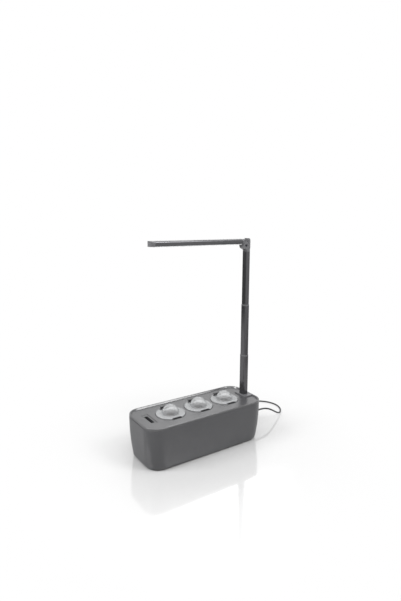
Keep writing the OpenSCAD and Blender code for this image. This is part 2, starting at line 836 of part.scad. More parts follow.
module diffuser() color(white) {
    translate([led_x0 - plug_in, 0, lamp_z - diffuser_drop + lamp_r]) rotate([90, 0, 90])
        linear_extrude(led_x1 - led_x0 + 2 * plug_in) difference() {
            rounded(diffuser_w, 2 * lamp_r, diffuser_r);
            translate([0, diffuser_drop + diffuser_t])
                square([diffuser_w + cut, 2 * lamp_r], center = true);
        }
}

// A round piece on the plug's axis, from x0 to x1
module plug_part(r, x0, x1) {
    translate([x0, 0, jack_z]) rotate([0, 90, 0]) cylinder(h = x1 - x0, r = r);
}

module dc_plug() color(black) {
    plug_part(plug_body_r, plug_x, plug_x + plug_l);
    plug_part(plug_collar_r, plug_x - plug_collar_l, plug_x);
}

module plug_barrel() color(metal) {
    difference() {
        plug_part(plug_r, plug_x - plug_collar_l - barrel_l, plug_x - plug_collar_l);
        plug_part(plug_core_r + slide_gap, plug_x - plug_collar_l - barrel_l - cut,
            plug_x - plug_collar_l - seat);
    }
}

module plug_relief() color(black) {
    plug_part(relief_r, plug_x + plug_l, cord_start_x);
}

function unit(v) = v / norm(v);

// Frame across a route at point i: the level direction and the one above it
function side_at(route, i) = let (a = route[max(0, i - 1)], b = route[min(len(route) - 1, i + 1)],
    d = unit(b - a), s = unit(cross(d, [0, 0, 1]))) [s, cross(s, d)];

// One closed tube of n sides along the points of a route
module tube(route, d, n) {
    m = len(route);
    turn = 180 / n;
    points = [for (i = [0:m - 1]) let (f = side_at(route, i)) for (k = [0:n - 1])
        route[i] + d / 2 * (cos(360 * k / n + turn) * f[0] + sin(360 * k / n + turn) * f[1])];
    sides = [for (i = [0:m - 2], k = [0:n - 1], h = [0:1])
        let (a = i * n + k, b = i * n + (k + 1) % n)
        h == 0 ? [a, b, a + n] : [b, b + n, a + n]];
    caps = [[for (k = [n - 1:-1:0]) k], [for (k = [0:n - 1]) (m - 1) * n + k]];
    polyhedron(points, concat(sides, caps));
}

// The coil spirals in on the table, climbs where it turns, and spirals out
coil_pitch = cord_d + coil_gap;
coil_rise = cord_d + coil_gap;
coil_steps = coil_loops * coil_ring_steps;
function coil_radius(t) = coil_r - coil_pitch * (coil_loops / 2 - abs(t - coil_loops / 2));
function coil_height(t) = table_z + coil_rise * min(1, max(0, t - coil_loops / 2 + 0.25) / 0.5);
coil_route = concat([[coil_x + cord_d, coil_y + coil_r, table_z]],
    [for (k = [0:coil_steps]) let (t = k / coil_ring_steps, a = 90 + 360 * t, r = coil_radius(t))
        [coil_x + r * cos(a), coil_y + r * sin(a), coil_height(t)]],
    [[coil_x - cord_d, coil_y + coil_r, table_z + coil_rise]]);

module cord() color(black) tube(cord_route, cord_d, cord_sides);
module cord_coil() color(black) tube(coil_route, cord_d, coil_sides);
module cord_tail() color(black) tube(tail_route, cord_d, cord_sides);

// Least gap between parts of the coil that lie more than half a loop apart
coil_least = min([for (i = [0:coil_steps], j = [i + coil_ring_steps / 2:1:coil_steps])
    norm(coil_route[i] - coil_route[j])]) - cord_d;
echo(coil_least_gap = coil_least);

module adapter_relief() color(black) {
    translate([adapter_x1, adapter_y, adapter_h / 2]) rotate([0, 90, 0])
        cylinder(h = relief_l, r = relief_r);
}

module power_adapter() color(black) {
    translate([adapter_x1 - adapter_l, adapter_y, adapter_h / 2]) rotate([90, 0, 90])
        linear_extrude(adapter_l) rounded(adapter_w, adapter_h, adapter_r);
}

module adapter_pins() color(metal) {
    for (s = [-1, 1]) translate([adapter_x1 - adapter_l - pins_l, adapter_y + s * pins_pitch / 2,
        adapter_h / 2]) rotate([0, 90, 0]) cylinder(h = pins_l, r = pins_r);
}

tub();
foot_pads();
lid();
indicator_sleeve();
float_plate();
cup(cups_x[0]);  // cup_left
wick(cups_x[0]);  // wick_left
medium(cups_x[0]);  // medium_left
cover(cups_x[0]);  // cover_left
dome(cups_x[0]);  // dome_left
cup(cups_x[1]);  // cup_centre
wick(cups_x[1]);  // wick_centre
medium(cups_x[1]);  // medium_centre
cover(cups_x[1]);  // cover_centre
dome(cups_x[1]);  // dome_centre
cup(cups_x[2]);  // cup_right
wick(cups_x[2]);  // wick_right
medium(cups_x[2]);  // medium_right
cover(cups_x[2]);  // cover_right
dome(cups_x[2]);  // dome_right
foot_housing();
foot_cover();
foot_screws();
driver_board();
dc_jack();
mast_lower();
lower_bush();
mast_middle();
middle_bush();
mast_upper();
hinge_yoke();
hinge_pin();
friction_washers();
lamp_knuckle();
lamp_housing();
lamp_end_cap();
led_board();
leds();
diffuser();
dc_plug();
plug_barrel();
plug_relief();
cord();
cord_coil();
cord_tail();
adapter_relief();
power_adapter();
adapter_pins();
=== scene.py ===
"""Countertop hydroponic garden, dressed for pictures on top of its CAD frame.

Every size is in metres in the frame of the CAD model: the origin is on the table
under the middle of the tank, +X runs towards the lamp, +Y to the back, +Z up.
"""

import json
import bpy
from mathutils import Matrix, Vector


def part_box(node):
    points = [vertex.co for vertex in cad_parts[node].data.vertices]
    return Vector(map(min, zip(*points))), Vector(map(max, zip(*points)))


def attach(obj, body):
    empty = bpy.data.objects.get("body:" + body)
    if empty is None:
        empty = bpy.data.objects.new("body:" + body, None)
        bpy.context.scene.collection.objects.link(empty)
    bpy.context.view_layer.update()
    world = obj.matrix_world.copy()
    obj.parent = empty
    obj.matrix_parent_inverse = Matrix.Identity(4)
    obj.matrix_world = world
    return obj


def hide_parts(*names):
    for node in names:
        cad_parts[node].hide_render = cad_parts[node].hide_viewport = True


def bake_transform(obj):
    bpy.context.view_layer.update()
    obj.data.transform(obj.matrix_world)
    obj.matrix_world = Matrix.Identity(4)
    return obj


bl_info = {
    "name": "Countertop hydroponic garden",
    "version": (1, 0, 0),
    "blender": (4, 5, 0),
    "location": "3D View > Sidebar > Garden",
    "description": "Builds the tank, plant cups, float gauge, grow lamp and lead of a countertop garden",
    "category": "Add Mesh",
}

import bmesh
import bpy
import numpy as np
from mathutils import Matrix, Vector

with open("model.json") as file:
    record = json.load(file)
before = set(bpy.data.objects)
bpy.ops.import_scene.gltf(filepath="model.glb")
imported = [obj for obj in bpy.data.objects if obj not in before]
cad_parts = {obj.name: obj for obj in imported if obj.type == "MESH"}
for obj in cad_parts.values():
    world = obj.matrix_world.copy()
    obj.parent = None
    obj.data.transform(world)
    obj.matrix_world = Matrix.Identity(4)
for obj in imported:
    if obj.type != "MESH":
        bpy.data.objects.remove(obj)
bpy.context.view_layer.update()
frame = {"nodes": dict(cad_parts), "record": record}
MM = 0.001
PLACES = ("left", "centre", "right")
# an edge sharper than this is rounded, and shaded as an edge
CREASE = np.radians(38)
# middle of the mast along X, height of the plug's axis, and the adapter's axis
MAST_X = 135 * MM
PLUG_Z = 40 * MM
ADAPTER_Y, ADAPTER_Z = 96 * MM, 14 * MM
# finishes by name, made by the step Finishes
M = {}


# Sizes and colours


class GardenSizes(bpy.types.PropertyGroup):
    """Sizes that the CAD frame leaves open."""

    edge: bpy.props.FloatProperty(
        name="Moulded edge", description="Rounding of the moulded edges",
        default=0.45 * MM, min=0.1 * MM, max=1 * MM, subtype="DISTANCE", unit="LENGTH",
    )
    crumb: bpy.props.FloatProperty(
        name="Crumb height", description="How far the crumbs of the growing medium stand out",
        default=0.55 * MM, min=0, max=1 * MM, subtype="DISTANCE", unit="LENGTH",
    )
    fibres: bpy.props.IntProperty(
        name="Fibres", description="Coir fibres laid on each plug of growing medium",
        default=260, min=0, max=600,
    )
    grips: bpy.props.IntProperty(
        name="Grip rings", description="Rings moulded round the power plug", default=6, min=0, max=10
    )


class GardenColours(bpy.types.PropertyGroup):
    """Colours of the moulded pieces, as sRGB hex values."""

    tank: bpy.props.StringProperty(name="Tank", description="Colour of the tank", default="#474749")
    lid: bpy.props.StringProperty(name="Lid", description="Colour of the lid", default="#424244")
    cup: bpy.props.StringProperty(
        name="Cup", description="Colour of the plant cups and the cover discs", default="#39393b"
    )
    lamp: bpy.props.StringProperty(
        name="Lamp", description="Colour of the lamp's mouldings", default="#606062"
    )
    gauge: bpy.props.StringProperty(
        name="Gauge", description="Colour of the gauge sleeve", default="#d3151b"
    )
    medium: bpy.props.StringProperty(
        name="Medium", description="Colour of the growing medium", default="#574636"
    )


def linear(text, share=1.0):
    """sRGB hex text as linear red, green, blue and alpha, times a share."""
    s = np.array([int(text[i : i + 2], 16) for i in (1, 3, 5)]) / 255
    return (*(np.where(s <= 0.04045, s / 12.92, ((s + 0.055) / 1.055) ** 2.4) * share), 1.0)


# Surfaces


def fit(node):
    """Corners of a CAD node's box, its middle along X, and its half sizes along X and Y."""
    lo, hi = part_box(node)
    return lo, hi, (lo.x + hi.x) / 2, (hi.x - lo.x) / 2, (hi.y - lo.y) / 2


def ring(count):
    """Angles of count even directions round a circle."""
    return np.arange(count) * 2 * np.pi / count


def around(radius, t, z, x=0.0):
    """Points about an upright axis at x: (x + radius cos t, radius sin t, z)."""
    return np.stack([x + radius * np.cos(t), radius * np.sin(t), z + 0 * t], -1)


def turned(profile, count):
    """Surface of revolution about Z: each (radius, height) of the profile is carried round a full circle."""
    p = np.asarray(profile, float)
    return around(p[:, :1], ring(count), p[:, 1:])


def level(points, x, y, z):
    """Lays a form that stands on Z along X, with its foot at x, y, z: (z, y, -x) of each point."""
    return points[..., [2, 1, 0]] * [1, 1, -1] + [x, y, z]


def outline(a, b, r, steps):
    """Rounded rectangle of half sizes a and b: four quarter circles of radius r, joined anticlockwise."""
    t = np.linspace(0, np.pi / 2, steps) + np.arange(4)[:, None] * np.pi / 2
    x = np.array([1, -1, -1, 1])[:, None] * (a - r) + r * np.cos(t)
    y = np.array([1, 1, -1, -1])[:, None] * (b - r) + r * np.sin(t)
    return np.stack([x.ravel(), y.ravel()], -1)


def tiers(rows, steps):
    """Rounded rectangles one after the other: each row is the half sizes, corner radius and height of one."""
    least = 0.02 * MM
    return np.stack([
        np.c_[outline(a, b, max(r, least), steps), np.full(4 * steps, z)] for a, b, r, z in rows
    ])


def lips(start, end, edge, bend):
    """Insets and heights of a wall between two heights, whose ends are quarter circles of radius edge.

    The insets are edge (1 - sin q), then edge (1 - cos q), for q from 0 to a right angle in bend steps.
    """
    q, way = np.linspace(0, np.pi / 2, bend), np.sign(end - start)
    near, far = edge * (1 - np.sin(q)), edge * (1 - np.cos(q))
    return [*zip(near, start + way * far), *zip(far, end - way * near)]


def bar(size, z0, z1, edge, steps=9, bend=4):
    """Rounded bar: an outline (half sizes and corner radius) is carried up Z and drawn in at its lips."""
    return tiers([(*np.subtract(size, e), z) for e, z in lips(z0, z1, edge, bend)], steps)


def sleeve(outside, inside, z0, z1, edge, steps=9):
    """Square tube: up the outside, over a rounded lip, down the inside and back under the lower lip.

    Outside and inside are each the half sizes and corner radius of an outline.
    """
    rows = [(*np.subtract(outside, e), z) for e, z in lips(z0, z1, edge, 3)]
    rows += [(*np.add(inside, e), z) for e, z in lips(z1, z0, edge, 3)]
    return tiers(rows, steps)


def waves(u, v, count, seed, low, high):
    """Smooth uneven field: the sum of count cosine waves of whole numbers of turns in u and v.

    The finer a wave is, the weaker: cos(m u + n v + phase) / sqrt(m m + n n). The sum is scaled to 1.
    """
    rng = np.random.default_rng(seed)
    m, n = rng.integers(low, high, count), rng.integers(-high, high, count)
    phase, size = rng.uniform(0, 2 * np.pi, count), 1 / np.sqrt(m * m + n * n)
    m, n, phase, size = (k[:, None, None] for k in (m, n, phase, size))
    field = (size * np.cos(m * u + n * v + phase)).sum(0)
    return field / np.abs(field).max()


def notched(t, r, w, d):
    """Distance from a disc's centre to its edge in direction t.

    It is r, or less where a cut-out w wide and d deep stands at the disc's front and back.
    """
    side = w / 2 / np.maximum(np.abs(np.cos(t)), 1e-9)
    flat = (r - d) / np.maximum(np.abs(np.sin(t)), 1e-9)
    return np.where(flat < side, flat, r)


def disc_angles(r, w, d):
    """Even directions round a disc, with a close pair at each corner of its cut-outs."""
    c = np.arctan2(r - d, w / 2)
    corner = np.array([c, np.pi - c, np.pi + c, 2 * np.pi - c])
    t = np.concatenate([ring(144), corner - 2e-4, corner + 2e-4])
    return np.unique(np.mod(t, 2 * np.pi))


def smooth_path(route, step):
    """Curve through the points of a route, cut into even steps, and its length.

    Each stretch is a cubic. At each of its ends it runs as the line between that point's neighbours.
    """
    p = np.asarray(route, float)
    q = np.vstack([2 * p[0] - p[1], p, 2 * p[-1] - p[-2]])
    t = np.linspace(0, 1, 24, endpoint=False)[None, :, None]
    a, b, c, d = q[:-3, None], q[1:-2, None], q[2:-1, None], q[3:, None]
    s = 0.5 * (2 * b + (c - a) * t + (2 * a - 5 * b + 4 * c - d) * t**2 + (3 * b - a - 3 * c + d) * t**3)
    s = np.vstack([s.reshape(-1, 3), p[-1:]])
    run = np.r_[0, np.cumsum(np.linalg.norm(np.diff(s, axis=0), axis=1))]
    even = np.linspace(0, run[-1], max(2, int(round(run[-1] / step))) + 1)
    return np.stack([np.interp(even, run, s[:, k]) for k in range(3)], -1), run[-1]


def tube(path, radius, sides):
    """Round tube: a circle is carried along the path, square to it, with its level side kept level."""
    d = np.gradient(path, axis=0)
    d /= np.linalg.norm(d, axis=1, keepdims=True)
    side = np.cross(d, [0, 0, 1.0])
    side /= np.linalg.norm(side, axis=1, keepdims=True)
    up = np.cross(side, d)
    t = ring(sides)[None, :, None]
    return path[:, None] + radius * (np.cos(t) * side[:, None] + np.sin(t) * up[:, None])


def coil_route():
    """Coil about (60, 98), in millimetres: five turns, on the table going in and one layer up coming out.

    The radius shrinks by a lead's width and a little each turn to the middle one, and grows again.
    """
    turns, outer, table, layer = 5, 34, 2.1, 4.8
    t = np.linspace(0, turns, 121)
    r = outer - layer * (turns / 2 - np.abs(t - turns / 2))
    z = table + layer * np.clip((t - turns / 2 + 0.25) / 0.5, 0, 1)
    return around(r, np.pi / 2 + 2 * np.pi * t, z, 60) + [0, 98, 0]


def quads(rows, cols, loop_rows=False):
    """Four-sided faces of a grid closed across its columns, and across its rows where loop_rows is true."""
    i, j = np.arange(rows if loop_rows else rows - 1)[:, None], np.arange(cols)[None, :]
    i2, j2 = (i + 1) % rows, (j + 1) % cols
    corners = np.broadcast_arrays(i * cols + j, i * cols + j2, i2 * cols + j2, i2 * cols + j)
    return np.stack(corners, -1).reshape(-1, 4)


def closed(points, faces, merge):
    """Mesh of points and faces. Points closer than merge become one, and the faces are turned outwards."""
    mesh = bpy.data.meshes.new("Piece")
    mesh.from_pydata(points, [], faces)
    bm = bmesh.new()
    bm.from_mesh(mesh)
    bmesh.ops.remove_doubles(bm, verts=bm.verts, dist=merge)
    bmesh.ops.recalc_face_normals(bm, faces=bm.faces)
    bm.to_mesh(mesh)
    bm.free()
    return mesh


def mesh_of(grids, loop_rows=False, caps=True):
    """Mesh of one or more grids of points, each closed by caps, or across its rows. Poles are merged."""
    points, faces, start = [], [], 0
    for g in grids:
        rows, cols = g.shape[:2]
        points.append(g.reshape(-1, 3))
        faces += (quads(rows, cols, loop_rows) + start).tolist()
        if caps and not loop_rows:
            faces.append((np.arange(cols) + start).tolist())
            faces.append((np.arange(cols)[::-1] + start + (rows - 1) * cols).tolist())
        start += rows * cols
    return closed(np.concatenate(points), faces, 2e-6)


def dressed(node):
    """Mesh of a CAD node whose points are merged and whose flat faces are joined again, ready for rounding.

    Slivers shorter than a fortieth of a millimetre go first, because a rounded edge can't cross them.
    """
    bm = bmesh.new()
    bm.from_mesh(frame["nodes"][node].data)
    bmesh.ops.remove_doubles(bm, verts=bm.verts, dist=1e-6)
    bmesh.ops.dissolve_degenerate(bm, dist=0.025 * MM, edges=bm.edges)
    bmesh.ops.dissolve_limit(bm, angle_limit=np.radians(0.4), verts=bm.verts, edges=bm.edges)
    mesh = bpy.data.meshes.new("Piece")
    bm.to_mesh(mesh)
    bm.free()
    return mesh


def piece(name, mesh, body, slot, replaced=(), edge=0.0, clamp=False, finish=None):
    """Puts a mesh in the scene as a piece that rides on a body and stands for the CAD nodes replaced.

    Its edges are rounded by edge. Its finish is the slot's own, unless another is named.
    """
    mesh.name = name
    obj = bpy.data.objects.new(name, mesh)
    bpy.context.scene.collection.objects.link(obj)
    mesh.materials.append(M[finish or slot])
    mesh.polygons.foreach_set("use_smooth", np.ones(len(mesh.polygons), bool))
    if edge:
        bevel = obj.modifiers.new("Rounded edges", "BEVEL")
        bevel.width, bevel.segments, bevel.limit_method, bevel.angle_limit = edge, 2, "ANGLE", CREASE
        bevel.use_clamp_overlap, bevel.miter_outer = clamp, "MITER_SHARP"
    mesh.set_sharp_from_angle(angle=CREASE)
    even = obj.modifiers.new("Even shading", "WEIGHTED_NORMAL")
    even.keep_sharp, even.weight = not edge, 60
    if body:
        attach(obj, body)
    if replaced:
        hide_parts(*replaced)
    return obj


# Materials

# where nearly all values of a noise lie, and the sockets of a Mix node that mixes colours
SPAN = {"From Min": 0.3, "From Max": 0.7}
A, B, MIXED = 6, 7, 2


def add(tree, kind, values=None, out=0, **settings):
    """Adds a node with its settings and returns one of its outputs.

    A value that is a socket is linked, and any other is set.
    """
    node = tree.nodes.new(kind)
    for key, value in settings.items():
        setattr(node, key, value)
    for key, value in (values or {}).items():
        if isinstance(value, bpy.types.NodeSocket):
            tree.links.new(value, node.inputs[key])
        else:
            node.inputs[key].default_value = value
    return node.outputs[out] if len(node.outputs) else node


def fresh(name):
    """An empty material, its tree and the place on the object's own axes."""
    mat = bpy.data.materials.get(name) or bpy.data.materials.new(name)
    mat.use_nodes = True
    mat.node_tree.nodes.clear()
    return mat, mat.node_tree, add(mat.node_tree, "ShaderNodeTexCoord", out="Object")


def surface(mat, tree, values):
    """Ends a material in one surface shader with these values."""
    shader = add(tree, "ShaderNodeBsdfPrincipled", values)
    add(tree, "ShaderNodeOutputMaterial", {"Surface": shader})
    return mat


def moulded(name, colour, rough, lumps, depth, gloss=1.5):
    """Injection-moulded plastic: a spark-eroded tool leaves a fine even grain, which spreads the highlight.

    The real grain is 0.1 to 0.2 mm and would not show, so it is drawn lumps millimetres across and depth
    millimetres deep. Handling leaves faint duller patches, and melt that flowed past the gate gives the
    tone a slow drift over 90 mm.
    """
    mat, tree, place = fresh(name)
    grain = {"Vector": place, "Scale": 1 / (lumps * MM), "Detail": 3.0, "Roughness": 0.6}
    fine = add(tree, "ShaderNodeTexNoise", grain)
    flow = add(tree, "ShaderNodeTexNoise", {"Vector": place, "Scale": 1 / (90 * MM), "Detail": 1.0})
    hands = add(tree, "ShaderNodeTexNoise", {"Vector": place, "Scale": 1 / (28 * MM), "Detail": 2.0})
    drift = add(tree, "ShaderNodeMapRange", {0: flow, **SPAN})
    batch = {0: drift, A: linear(colour, 0.95), B: linear(colour, 1.05)}
    tone = add(tree, "ShaderNodeMix", batch, MIXED, data_type="RGBA")
    # painted highlight: the raised tips of the grain are drawn up to 14 per cent of the way to a paler tone
    grain_tip_highlight = add(tree, "ShaderNodeMapRange", {0: fine, "From Min": 0.35, "From Max": 0.75, "To Max": 0.14})
    tone = add(tree, "ShaderNodeMix", {0: grain_tip_highlight, A: tone, B: linear(colour, 1.6)}, MIXED, data_type="RGBA")
    dull = add(tree, "ShaderNodeMapRange", {0: hands, **SPAN, "To Min": rough - 0.04, "To Max": rough + 0.05})
    bump = add(tree, "ShaderNodeBump", {"Height": fine, "Strength": 0.55, "Distance": depth * MM})
    return surface(mat, tree, {"Base Color": tone, "Roughness": dull, "IOR": gloss, "Normal": bump})


def anodised(name, along):
    """Drawn aluminium, blasted and anodised dark: die lines a millimetre apart run along it.

    The blast takes the mirror out of the metal. Along is the scale of the lines on each axis.
    """
    mat, tree, place = fresh(name)
    drawn = add(tree, "ShaderNodeMapping", {"Vector": place, "Scale": along})
    die = {"Vector": drawn, "Scale": 1 / (1.3 * MM), "Detail": 3.0, "Roughness": 0.6}
    lines = add(tree, "ShaderNodeTexNoise", die)
    blast = add(tree, "ShaderNodeTexNoise", {"Vector": place, "Scale": 1 / (0.8 * MM), "Detail": 2.0})
    even = add(tree, "ShaderNodeMapRange", {0: lines, **SPAN})
    dye = {0: even, A: linear("#565658", 0.93), B: linear("#565658", 1.07)}
    tone = add(tree, "ShaderNodeMix", dye, MIXED, data_type="RGBA")
    dull = add(tree, "ShaderNodeMapRange", {0: lines, **SPAN, "To Min": 0.18, "To Max": 0.24})
    bump = add(tree, "ShaderNodeBump", {"Height": blast, "Strength": 0.3, "Distance": 0.02 * MM})
    return surface(mat, tree, {"Base Color": tone, "Metallic": 0.8, "Roughness": dull, "Normal": bump})


def patchy(name, low, high, patch, detail, least, most, values, skin=None):
    """Plain finish whose tone, from low to high, and roughness, from least to most, drift together.

    The patches are patch millimetres across, and the waves of its skin, if it has any, skin millimetres.
    """
    mat, tree, place = fresh(name)
    drift = add(tree, "ShaderNodeTexNoise", {"Vector": place, "Scale": 1 / (patch * MM), "Detail": detail})
    tone = add(tree, "ShaderNodeMix", {0: drift, A: linear(low), B: linear(high)}, MIXED, data_type="RGBA")
    dull = add(tree, "ShaderNodeMapRange", {0: drift, **SPAN, "To Min": least, "To Max": most})
    values = {"Base Color": tone, "Roughness": dull, **values}
    if skin:
        wavy = add(tree, "ShaderNodeTexNoise", {"Vector": place, "Scale": 1 / (skin * MM), "Detail": 2.0})
        bump = {"Height": wavy, "Strength": 0.25, "Distance": 0.05 * MM}
        values["Normal"] = add(tree, "ShaderNodeBump", bump)
    return surface(mat, tree, values)


def printed(name, low, high):
    """Coat over copper tracks: glossy, with the tracks just showing."""
    mat, tree, place = fresh(name)
    track = add(tree, "ShaderNodeTexNoise", {"Vector": place, "Scale": 1 / (1.5 * MM), "Detail": 1.0})
    raised = add(tree, "ShaderNodeMapRange", {0: track, "From Min": 0.48, "From Max": 0.52})
    tone = add(tree, "ShaderNodeMix", {0: raised, A: linear(low), B: linear(high)}, MIXED, data_type="RGBA")
    dull = add(tree, "ShaderNodeMapRange", {0: track, **SPAN, "To Min": 0.25, "To Max": 0.4})
    return surface(mat, tree, {"Base Color": tone, "Roughness": dull})


def clear_sheet():
    """PET sheet formed hot over a polished plug: clear and thin.

    Seen edge on it hides more, and its colour turns grey there: a painted shade that draws its outline.
    """
    mat, tree, place = fresh("Thermoformed clear PET")
    haze = add(tree, "ShaderNodeTexNoise", {"Vector": place, "Scale": 1 / (9 * MM), "Detail": 2.0})
    dull = add(tree, "ShaderNodeMapRange", {0: haze, **SPAN, "To Min": 0.2, "To Max": 0.28})
    slant = add(tree, "ShaderNodeLayerWeight", {"Blend": 0.5}, "Facing")
    # painted shade: the colour goes from near white to grey as the sheet is seen more edge on
    deep = add(tree, "ShaderNodeMapRange", {0: slant, "From Min": 0.3, "From Max": 0.85})
    painted_edge_shade = {0: deep, A: linear("#f6f7f8"), B: linear("#808385")}
    tone = add(tree, "ShaderNodeMix", painted_edge_shade, MIXED, data_type="RGBA")
    path = {0: slant, "From Min": 0.35, "From Max": 0.9, "To Min": 0.13, "To Max": 0.66}
    body = add(tree, "ShaderNodeMapRange", path)
    values = {"Base Color": tone, "Roughness": dull, "IOR": 1.57, "Specular IOR Level": 0.15}
    return surface(mat, tree, {**values, "Coat Weight": 0.6, "Coat Roughness": 0.24, "Alpha": body})


def pressed_medium(colour):
    """Pressed peat and coir: crumbs of 2 to 3 mm, pale flecks and dark straws among them, dull all over."""
    mat, tree, place = fresh("Pressed peat and coir")
    lumps = {"Vector": place, "Scale": 1 / (2.4 * MM), "Detail": 5.0, "Roughness": 0.65}
    crumb = add(tree, "ShaderNodeTexNoise", lumps)
    fleck = add(tree, "ShaderNodeTexNoise", {"Vector": place, "Scale": 1 / (0.9 * MM), "Detail": 2.0})
    laid = add(tree, "ShaderNodeMapping", {"Vector": place, "Scale": (1, 1, 0.25)})
    strands = {"Vector": laid, "Scale": 1 / (5 * MM), "Detail": 3.0, "Roughness": 0.6}
    straw = add(tree, "ShaderNodeTexNoise", strands)
    a = add(tree, "ShaderNodeMapRange", {0: crumb, "From Min": 0.35, "From Max": 0.65})
    b = add(tree, "ShaderNodeMapRange", {0: fleck, "From Min": 0.6, "From Max": 0.72, "To Max": 0.55})
    c = add(tree, "ShaderNodeMapRange", {0: straw, "From Min": 0.5, "From Max": 0.75, "To Max": 0.35})
    soil = {0: a, A: linear(colour, 0.65), B: linear(colour, 1.2)}
    earth = add(tree, "ShaderNodeMix", soil, MIXED, data_type="RGBA")
    earth = add(tree, "ShaderNodeMix", {0: b, A: earth, B: linear("#85735f")}, MIXED, data_type="RGBA")
    earth = add(tree, "ShaderNodeMix", {0: c, A: earth, B: linear("#30261f")}, MIXED, data_type="RGBA")
    bump = add(tree, "ShaderNodeBump", {"Height": crumb, "Strength": 0.9, "Distance": 0.6 * MM})
    values = {"Base Color": earth, "Roughness": 0.95, "Specular IOR Level": 0.25, "Normal": bump}
    return surface(mat, tree, values)


def coir():
    """Single coir fibre: straw to brown along its length."""
    mat, tree, place = fresh("Coir fibre")
    age = add(tree, "ShaderNodeTexNoise", {"Vector": place, "Scale": 1 / (6 * MM), "Detail": 2.0})
    straw = {0: age, A: linear("#5f4a38"), B: linear("#94805f")}
    tone = add(tree, "ShaderNodeMix", straw, MIXED, data_type="RGBA")
    return surface(mat, tree, {"Base Color": tone, "Roughness": 0.8})


def wick_cord():
    """Bonded polyester: white threads under a millimetre wide that run along the wick."""
    mat, tree, place = fresh("Bonded polyester fibre")
    along = add(tree, "ShaderNodeMapping", {"Vector": place, "Scale": (1, 1, 0.08)})
    yarn = {"Vector": along, "Scale": 1 / (0.7 * MM), "Detail": 3.0, "Roughness": 0.6}
    thread = add(tree, "ShaderNodeTexNoise", yarn)
    even = add(tree, "ShaderNodeMapRange", {0: thread, **SPAN})
    white = {0: even, A: linear("#e2e1dd"), B: linear("#f7f6f3")}
    tone = add(tree, "ShaderNodeMix", white, MIXED, data_type="RGBA")
    bump = add(tree, "ShaderNodeBump", {"Height": thread, "Strength": 0.5, "Distance": 0.15 * MM})
    return surface(mat, tree, {"Base Color": tone, "Roughness": 0.9, "Sheen Weight": 0.3, "Normal": bump})


def materials(colours):
    """Every finish of the garden: those of the record's slots by the slot's name, and four more."""
    steel = {"Metallic": 1.0}
    return {
        # ABS from a tool with a matt grain: a soft, wide highlight
        "tank_plastic": moulded("Matt moulded ABS tank", colours.tank, 0.36, 0.8, 0.035, 1.42),
        # the same ABS a shade darker, from a finer tool that leaves some gloss
        "lid_plastic": moulded("Satin moulded ABS lid", colours.lid, 0.26, 0.7, 0.01, 1.75),
        # polypropylene from a polished tool: nearly black with sharp glints
        "cup_plastic": moulded("Polished polypropylene cup", colours.cup, 0.15, 1.6, 0.008, 1.49),
        # the cover discs: the same resin from a matt tool, so that they stay dark even at a low angle
        "cover": moulded("Matt polypropylene cover", colours.cup, 0.5, 0.8, 0.03, 1.4),
        # the float: the tank's ABS drawn paler than the tank, a painted lightening so that it is seen in its
        # slot
        "float": moulded("Matt moulded ABS float", "#58585a", 0.36, 0.8, 0.03, 1.42),
        # the lamp's mouldings: a satin tool, a shade lighter than the tank
        "lamp_plastic": moulded("Satin moulded ABS lamp", colours.lamp, 0.3, 0.7, 0.02),
        # the gauge: a smooth tool, so that its red reads from across a room
        "red_plastic": moulded("Polished red ABS", colours.gauge, 0.34, 1.6, 0.008, 1.4),
        # the power plug and adapter: black and matt, with a coarse grain that hides scratches
        "black_plastic": moulded("Matt moulded black ABS", "#1b1b1d", 0.42, 0.8, 0.03),
        # the mast's tubes were drawn upright, the lamp's arm lying along X
        "mast_aluminium": anodised("Dark anodised tube", (1, 1, 0.01)),
        "arm_aluminium": anodised("Dark anodised channel", (0.01, 1, 1)),
        # nitrile rubber pad: dull, with dust in patches of a few millimetres
        "pad_rubber": patchy(
            "Moulded nitrile rubber", "#17171a", "#2b2b2c", 2.5, 4.0, 0.62, 0.85, {"IOR": 1.52}
        ),
        # metals turned or rolled, then plated: nickel is bright, black zinc has a faint oily lustre
        "bright_metal": patchy("Nickel plated steel", "#c6c5c2", "#dad9d6", 0.6, 2.0, 0.16, 0.3, steel),
        "screw_steel": patchy("Black zinc plated steel", "#26262a", "#36363a", 0.6, 2.0, 0.28, 0.42, steel),
        # opal acrylic extrusion: milky white all through under a satin skin
        "diffuser_white": patchy(
            "Opal acrylic extrusion", "#e9ebec", "#f4f5f5", 14, 2.0, 0.26, 0.36, {"IOR": 1.49}
        ),
        # extruded PVC lead: satin, its skin wavy every few millimetres from the die
        "cord_rubber": patchy(
            "Extruded black PVC lead", "#161618", "#242426", 30, 2.0, 0.34, 0.5, {"IOR": 1.53}, skin=3
        ),
        # solder mask, green and white, and the gel over the light sources
        "board": printed("Green solder mask", "#0c3a1c", "#14542a"),
        "led_board_white": printed("White solder mask", "#dfe0de", "#efefed"),
        "led_yellow": printed("Phosphor gel", "#e9c765", "#f6e08c"),
        # the domes, the growing medium with its fibres, and the wicks
        "clear_plastic": clear_sheet(),
        "growing_medium": pressed_medium(colours.medium),
        "fibre": coir(),
        "wick_fibre": wick_cord(),
    }


# Operators


class GARDEN_OT_finishes(bpy.types.Operator):
    """Makes every finish and gives the CAD pieces that stay theirs"""

    bl_idname = "garden.finishes"
    bl_label = "Finishes"

    def execute(self, context):
        M.update(materials(context.scene.garden_colours))
        slots = {s["node"]: s["material_slot"] for s in frame["record"]["subparts"]}
        for node, obj in frame["nodes"].items():
            obj.data.materials.clear()
            obj.data.materials.append(M[slots[node]])
        return {"FINISHED"}


